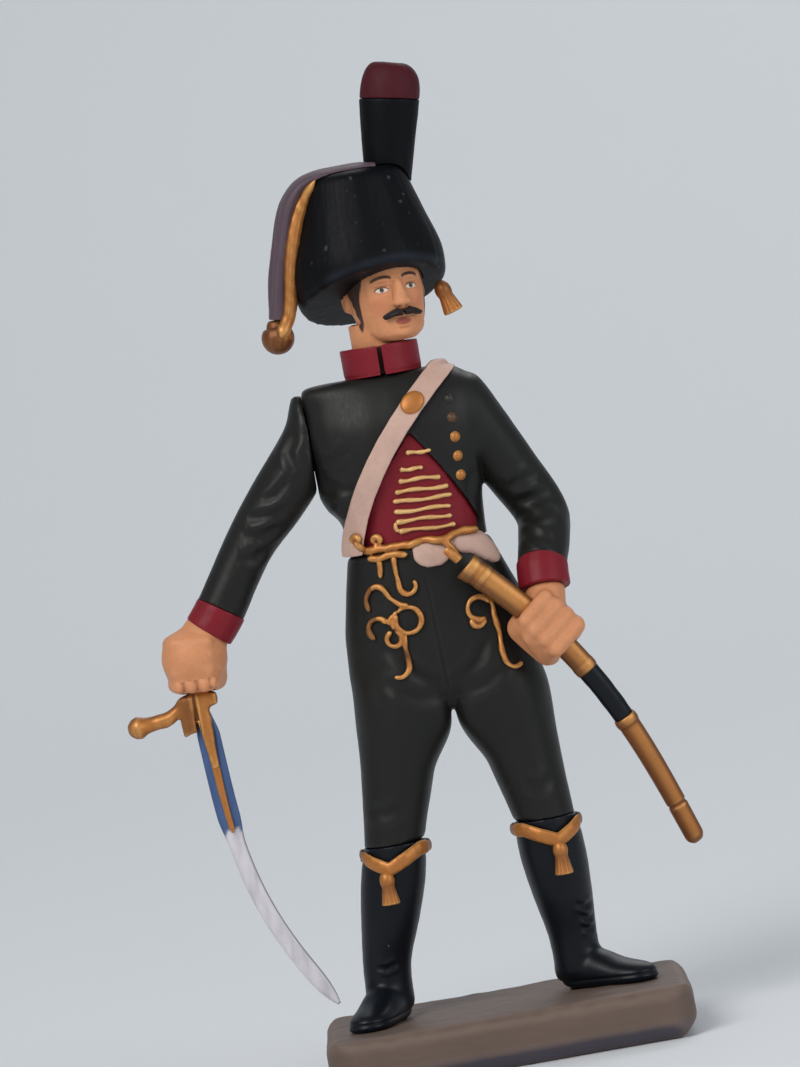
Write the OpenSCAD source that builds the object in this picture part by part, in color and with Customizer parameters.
// Standing light cavalryman in a fur cap: a painted cast figure on a flat base.
// The figure faces -Y, its own left side is +X, and the base rests on Z = 0.
// Heights called h are measured from the top of the base, and sideways
// places called x from the figure's centre line.

/* [Base] */
// Width of the base, side to side
base_w = 27.2; // [25:0.2:36]
// Depth of the base, front to back
base_d = 18; // [16:0.5:28]
// Thickness of the base
base_t = 4; // [3:0.1:6]
// Corner radius of the base
base_corner_r = 2.6; // [1:0.1:4]
// Bevel round the upper edge of the base
base_bevel = 0.6; // [0.2:0.1:1]
// Bevel round the lower edge of the base
base_foot_bevel = 1.3; // [0.5:0.1:1.6]
// Sideways place of the figure's centre line over the base
body_x = -0.7; // [-2:0.1:1]

/* [Legs] */
// Height of the boots at the back
boot_h = 13; // [11:0.1:15]
// Boot top to crotch
thigh_l = 9.4; // [8:0.1:11]
// Crotch to waist
rise = 12.1; // [11:0.1:14]
// Right ankle's distance from the centre line
right_ankle_x = 7.7; // [6.5:0.1:8.5]
// Left ankle's distance from the centre line
left_ankle_x = 6.5; // [5.5:0.1:7.5]
// Right knee's distance from the centre line
right_knee_x = 5.4; // [5:0.1:6]
// Left knee's distance from the centre line
left_knee_x = 5.9; // [5.4:0.1:6.6]
// Width of a thigh at the crotch
thigh_w = 7.1; // [6.4:0.1:7.6]
// Width of a leg at the top of the boot
knee_w = 4.5; // [4:0.1:5]
// Width of a boot at the calf
calf_w = 4.9; // [4.4:0.1:5.4]
// Width of a boot at the ankle
ankle_w = 3.6; // [3.2:0.1:4]
// Length of a boot's foot
foot_l = 8.6; // [7.5:0.1:9.5]
// Width of a boot's foot
foot_w = 3.4; // [2.8:0.1:3.8]
// Right foot turned out, in degrees
right_toe_out = 22; // [0:1:25]
// Left foot turned out, in degrees
left_toe_out = 60; // [35:1:65]
// Diameter of the spigot under each boot
foot_spigot_d = 1.6; // [1:0.1:2.2]

/* [Body] */
// Width of the hips
hip_w = 14.2; // [13:0.1:15.5]
// Depth of the hips
hip_d = 7.6; // [6.8:0.1:8.6]
// Width of the waist
waist_w = 10.5; // [9.8:0.1:11.4]
// Depth of the waist
waist_d = 7; // [6.2:0.1:7.6]
// Width of the chest, with the left shoulder
chest_w = 14.2; // [13.2:0.1:15]
// Depth of the chest
chest_d = 8.2; // [7.4:0.1:9]
// Waist to the top of the shoulders
trunk_l = 12.8; // [11.8:0.1:14]
// Thickness of the coat where it is cut away over the waistcoat
coat_t = 0.35; // [0.2:0.05:0.6]
// Height of the standing collar
collar_h = 2.2; // [1.8:0.1:2.4]
// Outer diameter of the collar
collar_d = 5.8; // [5.4:0.1:6.4]
// Thickness of the collar
collar_t = 0.55; // [0.4:0.05:0.7]
// Width of the cross belt
cross_belt_w = 1.6; // [1.2:0.1:2]
// Thickness of the cross belt
cross_belt_t = 0.4; // [0.3:0.05:0.6]
// Lean of the cross belt from upright at the shoulder, in degrees
cross_belt_lean = 49; // [46:1:51]
// Width of the white waist belt
waist_belt_w = 1.5; // [1.2:0.1:1.8]
// Thickness of the waist belt
waist_belt_t = 0.35; // [0.25:0.05:0.5]
// Length of the coat's tails at the back
tail_l = 9; // [7:0.5:10]
// Thickness of the coat's tails
tail_t = 0.8; // [0.5:0.1:1.1]

/* [Braid] */
// Thickness of the braid and cord laid on the cloth
braid_d = 0.5; // [0.35:0.05:0.6]
// Rows of braid on the waistcoat
braid_rows = 8; // [6:1:9]
// Buttons down the coat's left front
button_count = 5; // [4:1:6]
// Diameter of a button
button_d = 0.85; // [0.6:0.05:1]

/* [Head] */
// Diameter of the neck
neck_d = 3.9; // [3.5:0.1:4.1]
// Diameter of the spigot that the head turns on
neck_spigot_d = 2.4; // [2:0.1:2.8]
// Chin to crown
head_h = 7.6; // [7:0.1:8.2]
// Width of the head
head_w = 5.7; // [5.2:0.1:6.2]
// Depth of the head
head_d = 6.8; // [6.2:0.1:7.4]
// Head's middle set over to its left from the neck
head_shift = 1.1; // [0:0.1:1.3]
// Turn of the head to its left at rest, in degrees
head_turn = 18; // [0:1:25]
// Width of the fur cap at the brim
cap_w = 11.6; // [11:0.1:12.4]
// Width of the fur cap near its top
cap_top_w = 8.4; // [7.8:0.1:9]
// Brim at the forehead to the top of the fur cap
cap_h = 7.1; // [6.4:0.1:8]
// Drop of the fur cap from the forehead to the nape
cap_drop = 4.6; // [3.8:0.1:5]
// Length of the plume above the cap
plume_l = 7.5; // [6:0.1:9.5]
// Width of the plume near its top
plume_w = 4.6; // [3.8:0.1:5.2]
// Lean of the plume to the figure's left, in degrees
plume_lean = 11; // [0:1:14]
// Length of the plume's red tip
plume_tip_l = 2.7; // [1.8:0.1:3.4]

/* [Arms] */
// Right arm's seam from the centre line
shoulder_x = 6.5; // [6.2:0.1:6.9]
// Left arm's seam from the centre line
left_seam_x = 5.6; // [5.4:0.1:6]
// Wrist's distance out from the right arm's seam
arm_reach = 8.5; // [7.8:0.1:9.2]
// Drop from the top of the shoulder to the right wrist
arm_drop = 15; // [14:0.1:16]
// Width of a sleeve at the shoulder
sleeve_top_w = 4.9; // [4.5:0.1:5.2]
// Width of a sleeve at the elbow
sleeve_w = 4; // [3.6:0.1:4.4]
// Width of a sleeve at the wrist
wrist_w = 3.7; // [3.3:0.1:4]
// How far a cuff stands proud of its sleeve
cuff_t = 0.2; // [0.1:0.05:0.3]
// Length of a cuff
cuff_l = 1.9; // [1.5:0.1:2.2]
// Diameter of the shoulder pegs
shoulder_peg_d = 2.4; // [2:0.1:2.8]
// Left elbow's distance out from the centre line
elbow_x = 9.5; // [9:0.1:10]
// Drop from the top of the shoulder to the left elbow
elbow_drop = 11.8; // [11:0.1:12.5]

/* [Sabre and scabbard] */
// Width of the blade
blade_w = 1.7; // [1.4:0.1:2]
// Thickness of the blade
blade_t = 0.7; // [0.5:0.05:0.9]
// Height of the blade's tip above the base
tip_h = 2; // [1.5:0.1:3]
// Sagitta of the blade's curve
blade_bow = 2; // [1:0.1:2.4]
// Length of the quillon beyond the blade
quillon_l = 5.2; // [4:0.1:6]
// Diameter of the sabre's grip
grip_d = 1.4; // [1:0.1:1.8]
// Chord length of the scabbard
scabbard_l = 26.2; // [23:0.2:28]
// Slope of the scabbard from upright, in degrees
scabbard_lean = 30.3; // [27:0.1:33]
// Width of the scabbard at its mouth
scabbard_w = 1.8; // [1.5:0.1:2.2]
// Thickness of the scabbard
scabbard_t = 1.4; // [1.1:0.1:1.6]
// Sagitta of the scabbard's curve
scabbard_bow = 1.9; // [1:0.1:2.3]

/* [Fits] */
// Clearance all round a turning peg
turn_clearance = 0.05; // [0.02:0.01:0.08]
// Clearance all round a cemented spigot
spigot_clearance = 0.03; // [0.02:0.01:0.06]
// Gap between parts that move past each other
running_gap = 0.12; // [0.1:0.02:0.3]
// Gap under braid and trim laid on a surface
seat_gap = 0.04; // [0.03:0.01:0.08]

/* [Hidden] */
$fn = 40;

// Points round a body section, and round an arm or a blade
body_sides = 24;
limb_sides = 18;
cord_sides = 6;
hand_sides = 10;
// Rings between one station and the next
steps = 3;
// Roundness of a section: 1 is an ellipse, less is squarer
round_section = 1;
body_section = 0.88;
// Larger than the whole figure
far = 100;
// How far a peg or spigot runs into its own piece, and stays short of its socket's end
peg_root = 0.9;
peg_end_gap = 0.2;

// Heights from the top of the base
crotch_h = boot_h + thigh_l;
waist_h = crotch_h + rise;
shoulder_h = waist_h + trunk_l;
collar_top = shoulder_h + collar_h;
neck_x = -0.2;

coat_green = [0.13, 0.15, 0.14];
boot_black = [0.07, 0.09, 0.11];
red = [0.47, 0.12, 0.16];
gold = [0.8, 0.56, 0.27];
buff = [0.78, 0.65, 0.58];
flesh = [0.84, 0.6, 0.44];
steel = [0.82, 0.81, 0.83];
fur_black = [0.06, 0.07, 0.09];
mauve = [0.34, 0.27, 0.3];
base_brown = [0.42, 0.35, 0.31];

// Curves and skins

function mix(a, b, t) = a + (b - a) * t;
function unit(v) = v / norm(v);
function place(s) = [s[0], s[1], s[2]];
function rounded(v, e) = sign(v) * pow(abs(v), e);
function reverse(list) = [for (i = [len(list) - 1:-1:0]) list[i]];

// A smooth curve through stations, which are vectors of any length
function between(s, i, t) =
    let (a = s[max(i - 1, 0)], b = s[i], c = s[i + 1], d = s[min(i + 2, len(s) - 1)])
    (2 * b + (c - a) * t + (2 * a - 5 * b + 4 * c - d) * t * t
        + (3 * b - a - 3 * c + d) * t * t * t) / 2;
function smooth(s, n = steps) = [
    for (i = [0:len(s) - 2]) for (k = [0:n - 1]) between(s, i, k / n),
    s[len(s) - 1],
];

// One closed solid over a list of rings with the same number of points
module skin(rings) {
    n = len(rings[0]);
    last = len(rings) - 1;
    polyhedron(
        points = [for (r = rings) each r],
        faces = concat(
            [[for (k = [0:n - 1]) k]],
            [for (i = [0:last - 1]) for (k = [0:n - 1])
                let (a = i * n + k, b = i * n + (k + 1) % n)
                each [[a, a + n, b + n], [a, b + n, b]]],
            [[for (k = [n - 1:-1:0]) last * n + k]]));
}

// A level section at a station [x, y, h, half width, half depth]
function level_ring(s, grow, e) = [
    for (k = [0:body_sides - 1])
        let (g = 360 * k / body_sides)
        [s[0] + (s[3] + grow) * rounded(cos(g), e), s[1] + (s[4] + grow) * rounded(sin(g), e), s[2]]
];

// Level sections piled up, grown outwards by a thickness
module pile(stations, grow = 0, e = body_section) {
    skin([for (s = stations) level_ring(s, grow, e)]);
}

// Front and back faces of a pile at a sideways place x and a height h
function pile_at(stations, h) = [
    for (j = [0:4]) lookup(h, [for (s = stations) [s[2], s[j]]])
];
function pile_half(s, x, e) =
    s[4] * pow(max(0, 1 - pow(min(1, abs(x - s[0]) / s[3]), 2 / e)), e / 2);
function pile_front(stations, x, h, e = body_section) =
    let (s = pile_at(stations, h)) s[1] - pile_half(s, x, e);
function pile_back(stations, x, h, e = body_section) =
    let (s = pile_at(stations, h)) s[1] + pile_half(s, x, e);

// Sections square to a path, for stations [x, y, h, half width, half depth].
// The half depth lies towards front.
function heading(s, i) = unit(place(s[min(i + 1, len(s) - 1)]) - place(s[max(i - 1, 0)]));
function path_ring(s, i, front, n, grow) =
    let (t = heading(s, i), w = unit(cross(front, t)), d = cross(t, w))
    [for (k = [0:n - 1])
        let (g = 360 * k / n)
        place(s[i]) + w * (s[i][3] + grow) * cos(g) + d * (s[i][4] + grow) * sin(g)];
function path_rings(s, front, n = limb_sides, grow = 0, first = 0, last = -1) = [
    for (i = [first:(last < 0 ? len(s) - 1 : last)]) path_ring(s, i, front, n, grow)
];
module limb(stations, front = [0, -1, 0], n = limb_sides, grow = 0, first = 0, last = -1) {
    skin(path_rings(stations, front, n, grow, first, last));
}

// A round cord along points, with its ends drawn in
module cord(points, d = braid_d, n = cord_sides) {
    s = smooth([for (p = points) [p[0], p[1], p[2], d / 2, d / 2]], 2);
    limb(s, [0.31, -0.9, 0.29], n);
}

// Moves the figure over its place on the base
module stand() {
    translate([body_x, 0, base_t]) children();
}

// Outline in x and h, carried through the figure from front to back
module through(y0, y1) {
    translate([0, y1, 0]) rotate([90, 0, 0]) linear_extrude(y1 - y0) children();
}

// Legs and boots

right_side = -1;
left_side = 1;
function ankle_x(side) = side == left_side ? left_ankle_x : -right_ankle_x;
function knee_x(side) = side == left_side ? left_knee_x : -right_knee_x;
function toe_out(side) = side == left_side ? left_toe_out : -right_toe_out;
hip_x = 0.65;
waist_x = 0.15;
hip_spread = 3.65;
thigh_top_h = crotch_h + thigh_l * 0.106;
ankle_h = 4;
calf_h = boot_h * 0.785;
ankle_y = 0.6;
knee_y = -0.2;
leg_depth = 1.08;

function leg(side) =
    let (hip = hip_x + side * hip_spread, knee = knee_x(side))
    smooth([
        [knee, knee_y, boot_h, knee_w / 2, knee_w / 2 * leg_depth],
        for (t = [0.28, 0.65, 1])
            let (w = mix(knee_w, thigh_w, pow(t, 1.2)) / 2)
            [mix(knee, hip, t), mix(knee_y, 0, t), mix(boot_h, thigh_top_h, t), w, w * leg_depth],
        [hip - side * thigh_w * 0.07, 0, thigh_top_h + rise * 0.3, thigh_w * 0.42, hip_d * 0.46],
    ]);

hips = smooth([
    [hip_x, hip_d * 0.026, crotch_h - rise * 0.025, hip_w * 0.3, hip_d * 0.3],
    [hip_x, hip_d * 0.013, crotch_h + rise * 0.174, hip_w * 0.49, hip_d * 0.47],
    [hip_x, 0, crotch_h + rise * 0.446, hip_w / 2, hip_d / 2],
    [mix(hip_x, waist_x, 0.5), 0, crotch_h + rise * 0.711,
        mix(hip_w, waist_w, 0.42) / 2, mix(hip_d, waist_d, 0.5) / 2],
    [waist_x, 0, waist_h, waist_w / 2, waist_d / 2],
]);

function boot_shaft(side) =
    let (ankle = ankle_x(side), knee = knee_x(side))
    smooth([
        [ankle, ankle_y, ankle_h / 4, ankle_w * 0.5, ankle_w * 0.55],
        [mix(ankle, knee, 0.08), ankle_y, ankle_h, ankle_w / 2, ankle_w * 0.54],
        [mix(ankle, knee, 0.42), mix(ankle_y, knee_y, 0.2), mix(ankle_h, calf_h, 0.5),
            mix(ankle_w, calf_w, 0.6) / 2, mix(ankle_w, calf_w, 0.75) * 0.55],
        [mix(ankle, knee, 0.75), mix(ankle_y, knee_y, 0.5), calf_h, calf_w / 2, calf_w * 0.54],
        [knee, knee_y, boot_h, knee_w * 0.522, knee_w * 0.522 * leg_depth],
    ]);

// Stations of a foot: its place along the foot from the ankle, then half width,
// half height and middle height of the section as shares of half the foot's width
function foot(side) =
    let (a = toe_out(side), ankle = ankle_x(side), w = foot_w / 2)
    smooth([
        for (p = [[-0.16, 0.5, 0.47, 0.41], [-0.13, 0.8, 0.71, 0.53], [-0.04, 0.95, 1.12, 0.76],
                  [0.15, 0.98, 1.03, 0.71], [0.38, 1, 0.71, 0.44], [0.57, 0.95, 0.56, 0.32],
                  [0.68, 0.68, 0.41, 0.29], [0.73, 0.25, 0.24, 0.29]])
            [ankle + sin(a) * p[0] * foot_l, ankle_y - cos(a) * p[0] * foot_l, w * p[3], w * p[1], w * p[2]]
    ], 2);

module boot(side) {
    color(boot_black) stand() {
        intersection() {
            union() {
                pile(boot_shaft(side), e = round_section);
                limb(foot(side), [0, 0, 1]);
            }
            translate([-far / 2, -far / 2, 0]) cube(far);
        }
        translate([ankle_x(side), ankle_y, -base_t / 2])
            cylinder(d = foot_spigot_d, h = base_t / 2 + peg_root);
    }
}
module right_boot() { boot(right_side); }
module left_boot() { boot(left_side); }

// Gold edging round a boot's top, dipping to a point in front
trim_w = 1;
trim_t = 0.45;
trim_dip = 1.1;
function boot_front_turn(side) = side * 14;
function edging(side) =
    let (s = pile_at(boot_shaft(side), boot_h), n = 24)
    [for (k = [0:n])
        let (g = mix(-172, 172, k / n),
             dip = trim_dip * max(0, 1 - abs(g) / 55),
             a = g - 90 + boot_front_turn(side),
             out = trim_t / 2 + seat_gap + dip * 0.12)
        [s[0] + (s[3] + out) * cos(a), s[1] + (s[4] + out) * sin(a), boot_h - trim_w / 2 - dip,
            trim_t / 2, trim_w / 2]];
module boot_trim(side) {
    color(gold) stand()
        difference() {
            limb(edging(side), [0, 0, 1], 8);
            pile(boot_shaft(side), seat_gap, round_section);
        }
}
module right_boot_trim() { boot_trim(right_side); }
module left_boot_trim() { boot_trim(left_side); }

tassel_l = 2.1;
tassel_w = 1.4;
module boot_tassel(side) {
    top_h = boot_h - trim_w - trim_dip - seat_gap;
    x = pile_at(boot_shaft(side), top_h)[0] + knee_w / 2 * sin(boot_front_turn(side));
    y = pile_front(boot_shaft(side), x, top_h - tassel_l, round_section) - tassel_w / 2 - seat_gap;
    color(gold) stand()
        limb([
            for (p = [[0, 0.5], [0.25, 0.75], [0.4, 0.5], [0.75, 0.95], [0.95, 1], [1, 0.5]])
                [x, y, top_h - p[0] * tassel_l, p[1] * tassel_w / 2, p[1] * tassel_w / 2.4]
        ], n = 10);
}
module right_boot_tassel() { boot_tassel(right_side); }
module left_boot_tassel() { boot_tassel(left_side); }

module breeches() {
    color(coat_green) stand() {
        pile(hips);
        for (side = [right_side, left_side]) pile(leg(side), e = round_section);
    }
}

// Gold knots on the thighs, as strokes in x and h seen from the front
function thigh_front(x, h) =
    min(pile_front(hips, x, h), pile_front(leg(right_side), x, h, round_section),
        pile_front(leg(left_side), x, h, round_section));
function on_thigh(p, d) = [p[0], thigh_front(p[0], p[1]) - d / 2 - seat_gap, p[1]];
function arc(x, h, r, from, to) = [
    for (k = [0:ceil(abs(to - from) / 40)])
        let (a = mix(from, to, k / ceil(abs(to - from) / 40))) [x + r * cos(a), h + r * sin(a)]
];
module knot(strokes, h) {
    for (s = strokes) cord([for (p = s) on_thigh(p * knot_unit + [0, h], braid_d)]);
}
// Height of the knots' middles, and the unit that their strokes are drawn in
knot_h = waist_h - rise * 0.438;
knot_unit = 1;
right_knot = [
    [[-2.8, 4.2], [-2.85, 3.4]],
    concat([[-1.7, 3.95], [-1.75, 3.2]], arc(-1.05, 2.6, 0.6, 190, 400)),
    [[-4, 1.6], [-3.9, 2.5], [-3.3, 2.9], [-2.7, 2.4], [-2.35, 1.5]],
    arc(-1.5, 0.1, 0.95, 150, -150),
    arc(-2.75, -1.15, 0.6, 80, -250),
    [[-4.3, -0.5], [-4.1, 0.3], [-3.5, 0.6], [-2.9, 0.1]],
    [[-1.95, -1.5], [-2.1, -2.6], [-2.5, -3.5], [-3, -3.9], [-3.5, -3.8]],
];
left_knot = [
    arc(3.6, 0, 0.8, 330, 30),
    [[4.75, 0.9], [4.85, -0.6], [4.9, -2], [4.85, -3.2], [5, -4.1], [5.5, -4.6], [6, -4.4]],
];
module right_thigh_knot() { color(gold) stand() knot(right_knot, knot_h); }
module left_thigh_knot() { color(gold) stand() knot(left_knot, knot_h); }

// White belt on the left hip, sloping down to the scabbard
belt_slope = 12;
belt_x = 1.6;
belt_from = -0.4;
belt_drop = 0.95;
module belt_slab() {
    translate([belt_x, 0, waist_h - belt_drop]) rotate([0, belt_slope, 0])
        cube([far, far, waist_belt_w], center = true);
}
module waist_belt() {
    color(buff) stand()
        intersection() {
            difference() {
                pile(hips, seat_gap + waist_belt_t);
                pile(hips, seat_gap);
            }
            belt_slab();
            translate([-far / 2, -far / 2, 0]) cube([far, far, waist_h - seat_gap]);
            translate([belt_from, -far, 0]) cube(far);
        }
}

// Coat and waistcoat

trunk = smooth([
    for (p = [[0, 0.007, waist_w / 2, waist_d / 2], [0.24, 0.014, waist_w * 0.51, waist_d * 0.53],
              [0.47, 0.007, mix(waist_w, chest_w, 0.62) / 2, chest_d / 2],
              [0.7, 0.007, chest_w / 2, chest_d / 2],
              [0.88, 0, chest_w * 0.479, chest_d * 0.41], [0.97, -0.063, chest_w * 0.43, chest_d * 0.33],
              [1, -0.042, chest_w * 0.33, chest_d * 0.28]])
        [p[1] * chest_w, 0, waist_h + p[0] * trunk_l, p[2], p[3]]
]);
peg_h = shoulder_h - trunk_l * 0.297;
peg_l = 3.2;
neck_socket_l = 4;

// The coat's opening, in x and h: its left front curves away from its top
open_top_x = 0.9;
open_top_h = shoulder_h - trunk_l * 0.344;
open_right_x = -waist_w * 0.481;
open_left_x = waist_w / 2;
function opening() = concat(
    [[open_right_x, waist_h - 1], [open_right_x, waist_h + trunk_l * 0.125], [open_top_x, open_top_h]],
    [for (k = [1:6])
        let (t = k / 6)
        [mix(open_top_x, open_left_x, 1 - pow(1 - t, 1.35)), mix(open_top_h, waist_h, t)]],
    [[open_left_x, waist_h - 1]]);
opening_back_y = -chest_d * 0.146;
module opening_prism() { through(-far, opening_back_y) polygon(opening()); }

module coat() {
    color(coat_green) stand()
        difference() {
            pile(trunk);
            opening_prism();
            // Flat seams for the arms
            translate([-shoulder_x + running_gap / 2 - far, -far / 2, 0]) cube(far);
            translate([left_seam_x, -far / 2, 0]) cube(far);
            // Shoulder and neck sockets
            translate([-shoulder_x - 1, 0, peg_h]) rotate([0, 90, 0])
                cylinder(d = shoulder_peg_d + 2 * turn_clearance, h = peg_l + 1);
            translate([left_seam_x - peg_l, 0, peg_h]) rotate([0, 90, 0])
                cylinder(d = shoulder_peg_d + 2 * spigot_clearance, h = peg_l + 1);
            translate([neck_x, 0, shoulder_h - neck_socket_l])
                cylinder(d = neck_spigot_d + 2 * turn_clearance, h = neck_socket_l + 1);
        }
}

module waistcoat() {
    color(red) stand()
        intersection() {
            pile(trunk, -coat_t);
            opening_prism();
            translate([-far / 2, -far / 2, waist_h]) cube(far);
        }
}

// Two short tails hang from the waist behind, with a slit between them
tail_half_w = waist_w * 0.36;
tail_slit = 0.5;
module coat_tails() {
    color(coat_green) stand()
        intersection() {
            difference() {
                pile(hips, seat_gap + tail_t);
                pile(hips, seat_gap);
                for (side = [right_side, left_side]) pile(leg(side), seat_gap, round_section);
            }
            for (side = [right_side, left_side])
                through(1.5, far / 2)
                    polygon([
                        [hip_x + side * tail_slit / 2, waist_h - seat_gap],
                        [hip_x + side * tail_half_w, waist_h - seat_gap],
                        [hip_x + side * tail_half_w * 1.21, waist_h - tail_l * 0.9],
                        [hip_x + side * tail_slit * 0.9, waist_h - tail_l],
                    ]);
        }
}

// Buttons and braid

// A stud seated on a pile's front or back face, square to it
stud_taper = 0.6;
stud_gap = 2 * seat_gap;
module stud(stations, x, h, d, t, back = false, lift = stud_gap) {
    e = 0.05;
    y = back ? pile_back(stations, x, h) : pile_front(stations, x, h);
    slope = back ? (pile_back(stations, x + e, h) - pile_back(stations, x - e, h)) / (2 * e)
                 : (pile_front(stations, x + e, h) - pile_front(stations, x - e, h)) / (2 * e);
    lean = back ? (pile_back(stations, x, h + e) - pile_back(stations, x, h - e)) / (2 * e)
                : (pile_front(stations, x, h + e) - pile_front(stations, x, h - e)) / (2 * e);
    n = (back ? 1 : -1) * unit([-slope, 1, -lean]);
    translate([x, y, h] + n * lift)
        rotate([0, acos(n[2]), atan2(n[1], n[0])]) cylinder(d1 = d, d2 = d * stud_taper, h = t);
}

button_t = 0.35;
module coat_buttons() {
    color(gold) stand()
        for (k = [0:button_count - 1])
            let (t = k / (button_count - 1))
            stud(trunk, mix(chest_w * 0.3, chest_w * 0.29, t), waist_h + trunk_l * mix(0.805, 0.36, t),
                button_d, button_t);
}

module tail_buttons() {
    color(gold) stand()
        for (side = [right_side, left_side])
            stud(trunk, hip_x + side * tail_half_w * 0.4, waist_h + button_d, button_d, button_t, true);
}

// Rows of braid, shorter where the opening narrows
braid_top_h = open_top_h - trunk_l * 0.117;
braid_low_h = waist_h + trunk_l * 0.1;
module waistcoat_braid() {
    color(gold) stand()
        for (k = [0:braid_rows - 1])
            let (t = k / (braid_rows - 1), h = mix(braid_top_h, braid_low_h, t), spread = min(1, t * 2),
                 half = waist_w * mix(0.052, 0.21, spread), x = waist_w * mix(0.114, 0.081, spread))
            cord([for (u = [-1, -0.5, 0, 0.5, 1])
                [x + u * half, pile_front(trunk, x + u * half, h) + coat_t - braid_d / 2 - seat_gap, h]]);
}

// Standing collar, hooked in front with a narrow gap
collar_gap = 0.3;
module collar() {
    color(red) stand()
        translate([neck_x, 0, shoulder_h])
            difference() {
                cylinder(d = collar_d, h = collar_h);
                translate([0, 0, -1]) cylinder(d = collar_d - 2 * collar_t, h = collar_h + 2);
                translate([-collar_gap / 2, -collar_d, -1]) cube([collar_gap, collar_d, collar_h + 2]);
            }
}

// Cross belt from the left shoulder to the right hip

// The band's middle in x at a height h: it leans less towards the hip, where it
// ends a quarter of its width inside the waist's edge
cross_belt_x = chest_w * 0.264;
cross_belt_top = shoulder_h - trunk_l * 0.031;
cross_belt_hip_x = -waist_w / 2 + cross_belt_w / 4;
belt_fall = (cross_belt_top - waist_h) / trunk_l;
cross_belt_easing =
    (belt_fall - (cross_belt_x - cross_belt_hip_x) / (trunk_l * tan(cross_belt_lean))) / pow(belt_fall, 2);
function belt_slope_at(h) =
    tan(cross_belt_lean) * (1 - 2 * cross_belt_easing * (cross_belt_top - h) / trunk_l);
function belt_middle(h) =
    let (t = (cross_belt_top - h) / trunk_l)
    cross_belt_x - trunk_l * tan(cross_belt_lean) * (t - cross_belt_easing * t * t);
function belt_edge(h, side) =
    [belt_middle(h) + side * cross_belt_w / 2 * sqrt(1 + pow(belt_slope_at(h), 2)), h];
module cross_belt_slab() {
    heights = [for (k = [0:10]) mix(waist_h - 0.2, cross_belt_top + 1.5, k / 10)];
    through(-far / 2, far / 2)
        polygon(concat([for (h = heights) belt_edge(h, 1)], [for (h = reverse(heights)) belt_edge(h, -1)]));
}
function lifted(stations, g) = [
    for (i = [0:len(stations) - 1])
        let (s = stations[i])
        i < len(stations) - 1 ? s : [s[0], s[1], s[2] + g, s[3], s[4]]
];
module cross_belt() {
    color(buff) stand()
        intersection() {
            difference() {
                pile(lifted(trunk, cross_belt_t), cross_belt_t);
                pile(trunk);
            }
            cross_belt_slab();
            difference() {
                translate([-far / 2, -far / 2, waist_h]) cube(far);
                translate([neck_x, 0, 0]) cylinder(d = collar_d + 2 * seat_gap, h = far);
                // Room for the right arm to swing past
                translate([-shoulder_x + running_gap / 2 - far, -far / 2, peg_h - sleeve_top_w]) cube(far);
            }
        }
}
plate_d = 1.84;
plate_t = 0.35;
module cross_belt_plate() {
    h = shoulder_h - trunk_l * 0.195;
    color(gold) stand()
        stud(trunk, belt_middle(h), h, plate_d, plate_t, lift = cross_belt_t + stud_gap);
}

// Gold braid along the waist, from the cross belt to the left hip
belt_clearance = 0.15;
waist_braid_d = 0.7;
waist_braid_from = belt_edge(waist_h + waist_braid_d, 1)[0] + belt_clearance;
waist_braid_to = waist_w * 0.45;
module waist_braid() {
    h = waist_h + waist_braid_d / 2;
    color(gold) stand()
        cord([for (k = [0:10])
            let (x = mix(waist_braid_from, waist_braid_to, k / 10))
            [x, pile_front(trunk, x, h) - waist_braid_d / 2 - seat_gap, h]], waist_braid_d, 8);
}

// Pouch carried on the belt behind the right hip
pouch = [4.6, 1.5, 3];
pouch_lean = 14;
pouch_flap = 0.15;
module cartridge_pouch() {
    h = waist_h + trunk_l * 0.281;
    x = belt_middle(h) + pouch[0] * 0.2;
    y = pile_back(trunk, x, h) + cross_belt_t;
    color(boot_black) stand()
        difference() {
            translate([x, y, h]) rotate([0, pouch_lean, 0]) {
                translate([-pouch[0] / 2, -pouch[1], -pouch[2] / 2]) cube([pouch[0], 2 * pouch[1], pouch[2]]);
                translate([-pouch[0] / 2 - pouch_flap, -pouch[1], pouch[2] * 0.1])
                    cube([pouch[0] + 2 * pouch_flap, 2 * pouch[1] + pouch_flap, pouch[2] * 0.42]);
            }
            pile(trunk, cross_belt_t + seat_gap);
        }
}

// Scabbard, on the left hip

mouth = [waist_w * 0.314, waist_h - waist_belt_w * 1.33];
mouth_y = -waist_d * 0.543 - waist_belt_t - scabbard_t / 2;
tail_y = 4;
scabbard_n = 18;
function scabbard_point(t) =
    let (chord = [sin(scabbard_lean), -cos(scabbard_lean)], side = [cos(scabbard_lean), sin(scabbard_lean)],
         p = mouth + chord * scabbard_l * t + side * scabbard_bow * sin(180 * pow(t, 0.9)))
    [p[0], mouth_y + tail_y * pow(t, 1.6), p[1]];
scabbard = [
    for (k = [0:scabbard_n])
        let (t = k / scabbard_n, w = mix(scabbard_w, scabbard_w * 0.74, t))
        concat(scabbard_point(t), [w / 2, scabbard_t / 2 * mix(1, 0.8, t)])
];
// Gold fittings stand proud of the leather, which shows between two of the stations
fitting_t = 0.08;
locket_end = 8;
leather_end = 11;
module scabbard_locket() { color(gold) stand() limb(scabbard, last = locket_end, grow = fitting_t); }
module scabbard_leather() {
    color(boot_black) stand() limb(scabbard, first = locket_end, last = leather_end);
}
module scabbard_chape() {
    tip = scabbard[scabbard_n];
    color(gold) stand()
        limb(concat(scabbard, [
            for (p = [[0.35, 0.8], [0.6, 0.45]])
                concat(place(tip) + heading(scabbard, scabbard_n) * p[0], [tip[3] * p[1], tip[4] * p[1]])
        ]), first = leather_end, grow = fitting_t);
}

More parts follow.
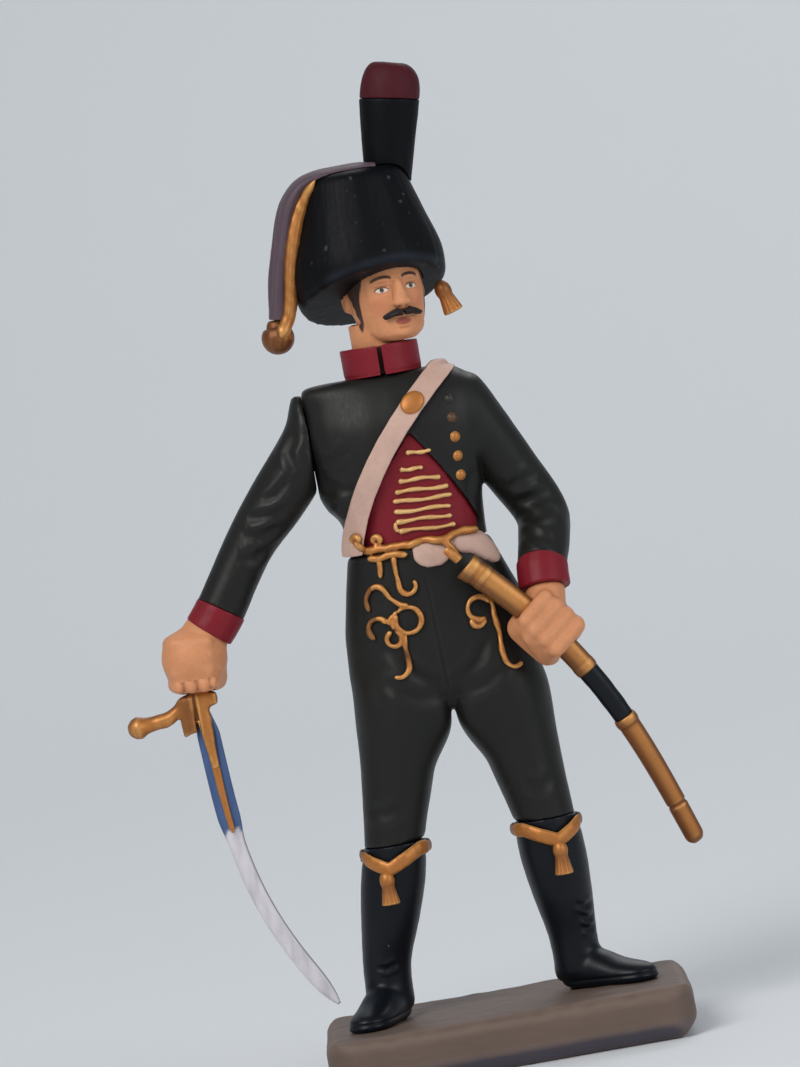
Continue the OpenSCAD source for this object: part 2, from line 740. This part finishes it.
// Gold hook that hangs the scabbard's mouth on the waist belt
ring_d = 0.8;
module scabbard_ring() {
    y = mouth_y - 0.1;
    color(gold) stand()
        cord([
            [mouth[0] - 1.2, y + 0.15, mouth[1] + 1.5],
            [mouth[0] - 0.75, y, mouth[1] + 1],
            [mouth[0] - 0.38, y, mouth[1] + 0.5],
        ], ring_d, 8);
}

// Left arm, with the hand round the scabbard

grip_t = 0.275;
grip = scabbard_point(grip_t);
// Unit that the hands, and the left wrist over its hand, are drawn in
hand_unit = 1;
left_wrist = grip + [0.6, 2, 4.5] * hand_unit;
left_cuff_end = grip + [0.5, 1.2, 2.8] * hand_unit;
elbow = [elbow_x, sleeve_w * 0.375, shoulder_h - elbow_drop];
left_shoulder = [left_seam_x, 0, shoulder_h - trunk_l * 0.328];
left_along = unit(elbow - left_shoulder);
left_arm_steps = 4;
left_arm = smooth([
    concat(left_shoulder - left_along * sleeve_top_w * 0.53, [sleeve_top_w * 0.46, sleeve_top_w * 0.42]),
    concat(left_shoulder, [sleeve_top_w * 0.48, sleeve_top_w * 0.5]),
    concat(mix(left_shoulder, elbow, 0.5), [mix(sleeve_top_w, sleeve_w, 0.6) / 2, sleeve_top_w * 0.45]),
    concat(elbow, [sleeve_w / 2, sleeve_w / 2]),
    concat(mix(elbow, left_wrist, 0.5) + [0.25, 0.1, 0] * hand_unit,
        [mix(sleeve_w, wrist_w, 0.4) / 2, sleeve_w / 2]),
    concat(left_wrist, [wrist_w / 2, wrist_w / 2]),
    concat(left_cuff_end, [wrist_w / 2, wrist_w / 2]),
], left_arm_steps);
left_cuff_start = len(left_arm) - 1 - left_arm_steps;

module left_sleeve() {
    color(coat_green) stand() {
        intersection() {
            limb(left_arm, last = left_cuff_start);
            translate([left_seam_x, -far / 2, 0]) cube(far);
        }
        translate([left_seam_x - peg_l + peg_end_gap, 0, peg_h]) rotate([0, 90, 0])
            cylinder(d = shoulder_peg_d, h = peg_l - peg_end_gap + peg_root);
    }
}
module left_cuff() { color(red) stand() limb(left_arm, first = left_cuff_start, grow = cuff_t); }

// Hands: a palm, four bent fingers and a thumb, closed round what they hold

module segment(a, b, r) {
    hull() {
        translate(a) sphere(r, $fn = hand_sides);
        translate(b) sphere(r * 0.94, $fn = hand_sides);
    }
}
// A fist round the Z axis: the fingers cross in front, the thumb lies along one side
finger_r = 0.66;
module fist(thumb_side) scale(hand_unit) {
    for (k = [0:3]) {
        z = (k - 1.5) * finger_r * 1.55;
        r = finger_r * (k == 0 ? 0.85 : 1);
        segment([-thumb_side * 1.75, 0.5, z], [-thumb_side * 1.45, -1.15, z], r);
        segment([-thumb_side * 1.45, -1.15, z], [thumb_side * 0.9, -1.55, z], r);
    }
    segment([thumb_side * 1.5, 0.3, 1.3], [thumb_side * 1.45, -1, -0.4], finger_r);
    hull() {
        for (x = [-1.2, 1.2]) for (z = [-1.3, 1.4]) {
            translate([x, 0.7, z]) sphere(1, $fn = hand_sides);
            translate([x * 0.9, -1, z]) sphere(0.6, $fn = hand_sides);
        }
    }
}

module left_hand() {
    color(flesh) stand()
        difference() {
            union() {
                translate(grip) rotate([0, 90 + 52, 0]) rotate([0, 0, -10]) fist(left_side);
                hull() {
                    translate(mix(grip, left_cuff_end, 0.35)) sphere(wrist_w * 0.405, $fn = 16);
                    translate(left_cuff_end) sphere(wrist_w * 0.39, $fn = 16);
                }
            }
            limb(scabbard, grow = fitting_t + seat_gap);
            limb(left_arm, first = left_cuff_start - 2, grow = cuff_t + seat_gap);
        }
}

// Right arm, which swings on a peg at the shoulder

right_shoulder = [-shoulder_x, 0, shoulder_h - trunk_l * 0.344];
right_wrist = [-shoulder_x - arm_reach, -sleeve_w * 0.075, shoulder_h - arm_drop];
right_along = unit(right_wrist - right_shoulder);
right_arm_steps = 4;
right_arm = smooth([
    concat(right_shoulder - right_along * sleeve_top_w * 0.53, [sleeve_top_w * 0.53, sleeve_top_w * 0.42]),
    concat(right_shoulder, [sleeve_top_w * 0.47, sleeve_top_w * 0.5]),
    concat(mix(right_shoulder, right_wrist, 0.35) + [-0.2, 0, 0.15] * hand_unit,
        [mix(sleeve_top_w, sleeve_w, 0.6) / 2, sleeve_top_w * 0.45]),
    concat(mix(right_shoulder, right_wrist, 0.65) + [-0.35, 0.25, 0.25] * hand_unit,
        [sleeve_w * 0.47, sleeve_w / 2]),
    concat(right_wrist, [wrist_w / 2, wrist_w / 2]),
    concat(right_wrist + right_along * cuff_l, [wrist_w / 2, wrist_w / 2]),
], right_arm_steps);
right_cuff_start = len(right_arm) - 1 - right_arm_steps;

module right_sleeve() {
    color(coat_green) stand() {
        intersection() {
            limb(right_arm, last = right_cuff_start);
            translate([-shoulder_x - running_gap / 2 - far, -far / 2, 0]) cube(far);
        }
        translate([-shoulder_x - peg_root, 0, peg_h]) rotate([0, 90, 0])
            cylinder(d = shoulder_peg_d, h = peg_l - peg_end_gap + peg_root);
    }
}
module right_cuff() { color(red) stand() limb(right_arm, first = right_cuff_start, grow = cuff_t); }

fist_middle = right_wrist + [-2.5, -0.2, -3.6] * hand_unit;
guard_middle = fist_middle + [-0.2, 0, -2.75] * hand_unit;
grip_top = fist_middle + [0.35, 0, 2] * hand_unit;
module grip_rod(d) {
    v = grip_top - guard_middle;
    translate(guard_middle) rotate([0, acos(v[2] / norm(v)), atan2(v[1], v[0])])
        cylinder(d = d, h = norm(v));
}
module right_hand() {
    cuff_end = right_wrist + right_along * cuff_l;
    color(flesh) stand()
        difference() {
            union() {
                translate(fist_middle) rotate([0, 4, 0]) fist(-right_side);
                hull() {
                    translate(mix(fist_middle, cuff_end, 0.3)) sphere(wrist_w * 0.46, $fn = 16);
                    translate(cuff_end) sphere(wrist_w * 0.405, $fn = 16);
                }
            }
            grip_rod(grip_d + 2 * spigot_clearance);
            limb(right_arm, first = right_cuff_start - 2, grow = cuff_t + seat_gap);
            translate(guard_middle + [-far / 2, -far / 2, guard_h / 2 + seat_gap - far]) cube(far);
        }
}

// Sabre: guard with one long quillon and its langets, and a curved blade

guard_w = 2.6;
guard_h = 1;
guard_t = 1.7;
langet_d = 0.4;
langet_l = 3;
module sabre_guard() {
    end = guard_middle + [-quillon_l, 0, -0.6];
    color(gold) stand() {
        grip_rod(grip_d);
        translate(guard_middle) cube([guard_w, guard_t, guard_h], center = true);
        limb([
            for (p = [[0.2, 0.5], [0.45, 0.5], [0.7, 0.46], [0.82, 0.55], [0.92, 0.8],
                      [1, 0.66], [1.06, 0.3]])
                concat(mix(guard_middle, end, p[0]), [p[1], p[1]])
        ], n = 12);
        for (y = [-1, 1])
            translate(guard_middle + [0, y * (blade_t / 2 + langet_d / 2 + seat_gap), -langet_d])
                rotate([0, 180, 0]) cylinder(d1 = langet_d, d2 = langet_d * 0.6, h = langet_l);
    }
}

blade_gap = 0.12;
blade_top = guard_middle - [0, 0, guard_h / 2 + blade_gap];
blade_tip = [ankle_x(right_side) - foot_w - 0.35, guard_middle[1], tip_h];
blade_n = 16;
function blade_point(t) =
    let (chord = blade_tip - blade_top, n = unit([chord[2], 0, -chord[0]]))
    blade_top + chord * t + n * blade_bow * sin(180 * pow(t, 1.15));
blade = [
    for (k = [0:blade_n])
        let (t = k / blade_n, w = t < 0.85 ? 1 : mix(1, 0.15, pow((t - 0.85) / 0.15, 2)))
        concat(blade_point(t), [blade_w / 2 * w, blade_t / 2 * mix(1, w, 0.6)])
];
module sabre_blade() { color(steel) stand() limb(blade, n = 8); }

// Gilt line laid along the upper blade's front face
gilding_from = 0.15;
gilding_to = 0.4;
gilding_t = 0.24;
module blade_gilding() {
    color(gold) stand()
        limb([
            for (k = [0:6])
                let (t = mix(gilding_from, gilding_to, k / 6), p = blade_point(t))
                [p[0], p[1] - (blade_t + gilding_t) / 2 - seat_gap, p[2], mix(0.4, 0.2, k / 6), gilding_t / 2]
        ], n = 6);
}

// Head, which turns on its neck spigot

chin_h = collar_top + running_gap;
brim_h = chin_h + head_h * 0.76;
cap_top_h = brim_h + cap_h;

module turned() {
    stand() translate([neck_x, 0, 0]) rotate([0, 0, head_turn]) children();
}
skull = smooth([
    for (p = [[0, -0.22, 0.22, 0.2], [0.06, -0.184, 0.34, 0.33], [0.2, -0.103, 0.43, 0.43],
              [0.4, -0.051, 0.48, 0.48], [0.62, -0.022, 0.5, 0.5], [0.82, 0, 0.47, 0.47],
              [0.95, 0.015, 0.34, 0.34], [1, 0.015, 0.16, 0.16]])
        [head_shift, p[1] * head_d, chin_h + p[0] * head_h, p[2] * head_w, p[3] * head_d]
], 2);
nose_h = chin_h + head_h * 0.36;
module head() {
    color(flesh) turned() {
        pile(skull, e = round_section);
        // Nose: height, half width and reach of each section
        limb([
            for (p = [[0.22, 0.053, -0.074], [0.17, 0.074, -0.007], [0.08, 0.096, 0.037],
                      [0, 0.109, 0.044], [-0.03, 0.07, -0.022]])
                let (h = nose_h + p[0] * head_h, y = pile_front(skull, head_shift, h, round_section))
                [head_shift, y - p[2] * head_d, h, p[1] * head_w, head_d * 0.074]
        ], n = 10);
        translate([0, 0, shoulder_h + seat_gap]) cylinder(d = neck_d, h = chin_h - shoulder_h + head_h * 0.2);
        translate([0, 0, shoulder_h - neck_socket_l + peg_end_gap])
            cylinder(d = neck_spigot_d, h = neck_socket_l + peg_root);
    }
}

moustache_h = chin_h + head_h * 0.26;
moustache_t = 0.44;
module moustache() {
    color(fur_black) turned()
        for (side = [right_side, left_side])
            limb([
                for (p = [[0.011, 0.039, 0], [0.088, 0.056, 0.011], [0.175, 0.049, -0.009],
                          [0.254, 0.025, -0.039]])
                    let (x = head_shift + side * p[0] * head_w)
                    [x, pile_front(skull, x, moustache_h, round_section) - moustache_t * 0.7 - seat_gap,
                        moustache_h + p[2] * head_w, p[1] * head_w, moustache_t / 2]
            ], n = 8);
}

// Fur cap: wider at the brim, lower at the nape, open below for the head
cap_x = 0.45;
cap_y = 0.7;
cap_depth = 0.97;
cap_sections = smooth([
    for (p = [[-cap_drop * 1.11, 0.76, 0], [-cap_drop * 0.5, 0.95, 0], [cap_h * 0.056, 1, 0],
              [cap_h * 0.45, 0.95, 0.35], [cap_h * 0.8, 0.95, 0.85], [cap_h * 0.95, 0.9, 1],
              [cap_h, 0.68, 1]])
        let (w = mix(cap_w, cap_top_w, p[2]) / 2 * p[1])
        [cap_x, cap_y, brim_h + p[0], w, w * cap_depth]
]);
cap_lean = atan2(cap_drop, cap_w * cap_depth);
cap_gap = 0.05;
plume_sink = 1.6;
plume_root = [cap_x + cap_top_w * 0.33, cap_y - plume_w * 0.13, cap_top_h];
plume_spigot_d = 1.2;
plume_spigot_l = 3.4;
module plume_frame() {
    translate(plume_root) rotate([0, plume_lean, -head_turn]) children();
}
module unplume_frame() {
    rotate([0, -plume_lean, 0]) rotate([0, 0, head_turn]) translate(-plume_root) children();
}
module fur_cap() {
    color(fur_black) turned()
        difference() {
            pile(cap_sections, e = round_section);
            pile(skull, cap_gap, round_section);
            translate([cap_x, cap_y - cap_w * cap_depth / 2, brim_h]) rotate([-cap_lean, 0, 0])
                translate([-far / 2, -far / 2, -far]) cube(far);
            plume_frame() translate([0, 0, -plume_spigot_l])
                cylinder(d = plume_spigot_d + 2 * spigot_clearance, h = far);
        }
}

// Cloth bag over the cap's crown, hanging down on its right. Its path follows
// the cap's outline: places are shares of the cap's half width and height.
bag_t = 1.5;
bag_lift = 0.55;
function bag_path() = [
    for (p = [[0.35, 0.97, 0.5], [-0.3, 0.98, 0.56], [-0.78, 0.94, 0.62], [-1, 0.8, 0.62], [-1.06, 0.6, 0.58],
              [-1.07, 0.34, 0.5], [-1.07, 0.05, 0.42], [-1.16, -0.4, 0.28]])
        let (half = mix(cap_w, cap_top_w, max(0, min(1, p[1] * 1.15))) / 2, over = p[1] > 0.9 ? 1 : 0)
        [cap_x + p[0] * (half + bag_lift), cap_y - bag_t / 5, brim_h + p[1] * cap_h + over * bag_t / 15,
            bag_t / 2 * (over > 0 ? 0.8 : 1), p[2] * cap_top_w / 2]
];
module cap_bag() {
    color(mauve) turned() rotate([0, 0, -head_turn])
        difference() {
            limb(smooth(bag_path()));
            rotate([0, 0, head_turn]) pile(cap_sections, seat_gap, round_section);
            rotate([0, 0, head_turn]) plume_frame() translate([0, 0, -plume_w / 2])
                cylinder(d = plume_w + 5 * seat_gap, h = plume_w * 1.5);
        }
}
bag_braid_d = 0.8;
bag_tassel_d = 2.6;
module bag_braid() {
    color(gold) turned() rotate([0, 0, -head_turn])
        cord([for (i = [2:7]) let (s = bag_path()[i]) [s[0], s[1] - s[4] - bag_braid_d / 2 - seat_gap, s[2]]],
            bag_braid_d, 8);
}
module bag_tassel() {
    s = smooth(bag_path());
    end = len(s) - 1;
    color(gold) turned() rotate([0, 0, -head_turn])
        translate(place(s[end]) + heading(s, end) * (bag_tassel_d / 2 + seat_gap)) sphere(d = bag_tassel_d);
}

// Gold tassel of the cap's cord, below the brim on its left
cord_tassel_l = 2.5;
module cord_tassel() {
    l = cord_tassel_l;
    color(gold) turned() rotate([0, 0, -head_turn])
        limb([
            for (p = [[0, 0.14, 0], [0.2, 0.22, 0.04], [0.48, 0.34, 0.12], [0.8, 0.4, 0.22], [1, 0.2, 0.26]])
                [cap_x + cap_w * 0.414 + p[2] * l, 0, brim_h - cap_drop * 0.45 - p[0] * l,
                    p[1] * l, p[1] * l * 0.8]
        ], n = 10);
}

// Plume, wider towards its top, with the tip as a piece of its own
plume = [
    for (p = [[0, 0.76], [0.3, 0.84], [0.6, 0.95], [0.8, 1], [0.9, 0.98], [0.98, 0.8], [1, 0.5]])
        [0, 0, mix(-plume_sink, plume_l, p[0]), p[1] * plume_w / 2, p[1] * plume_w / 2 * 0.85]
];
module plume_shape() {
    skin([for (s = smooth(plume)) level_ring(s, 0, round_section)]);
}
module plume_part(low, high) {
    intersection() {
        plume_shape();
        translate([-far / 2, -far / 2, low]) cube([far, far, high - low]);
    }
}
module plume() {
    color(fur_black) turned() plume_frame() {
        difference() {
            plume_part(-plume_sink, plume_l - plume_tip_l);
            unplume_frame() pile(cap_sections, seat_gap, round_section);
        }
        translate([0, 0, -plume_spigot_l + peg_end_gap])
            cylinder(d = plume_spigot_d, h = plume_spigot_l + peg_root);
    }
}
module plume_tip() {
    color(red) turned() plume_frame() plume_part(plume_l - plume_tip_l, plume_l + 1);
}

// Base

module base_outline() {
    r = base_corner_r;
    square([base_w - 2 * r, base_d], center = true);
    square([base_w, base_d - 2 * r], center = true);
    for (x = [-1, 1]) for (y = [-1, 1]) translate([x * (base_w / 2 - r), y * (base_d / 2 - r)]) circle(r);
}
module bevelled(w) {
    polygon([
        [-w / 2 + base_foot_bevel, 0], [w / 2 - base_foot_bevel, 0], [w / 2, base_foot_bevel],
        [w / 2, base_t - base_bevel], [w / 2 - base_bevel, base_t], [-w / 2 + base_bevel, base_t],
        [-w / 2, base_t - base_bevel], [-w / 2, base_foot_bevel],
    ]);
}
module base_plate() {
    color(base_brown)
        difference() {
            intersection() {
                translate([0, 0, -1]) linear_extrude(base_t + 2) base_outline();
                rotate([90, 0, 0]) linear_extrude(far, center = true) bevelled(base_w);
                rotate([90, 0, 90]) linear_extrude(far, center = true) bevelled(base_d);
            }
            stand() for (side = [right_side, left_side])
                translate([ankle_x(side), ankle_y, -base_t / 2 - peg_end_gap])
                    cylinder(d = foot_spigot_d + 2 * spigot_clearance, h = base_t);
        }
}

base_plate();
right_boot();
left_boot();
right_boot_trim();
left_boot_trim();
right_boot_tassel();
left_boot_tassel();
breeches();
right_thigh_knot();
left_thigh_knot();
waist_belt();
waist_braid();
coat();
coat_tails();
waistcoat();
waistcoat_braid();
coat_buttons();
tail_buttons();
collar();
cross_belt();
cross_belt_plate();
cartridge_pouch();
left_sleeve();
left_cuff();
left_hand();
scabbard_locket();
scabbard_leather();
scabbard_chape();
scabbard_ring();
head();
moustache();
fur_cap();
cap_bag();
bag_braid();
bag_tassel();
cord_tassel();
plume();
plume_tip();
right_sleeve();
right_cuff();
right_hand();
sabre_guard();
sabre_blade();
blade_gilding();
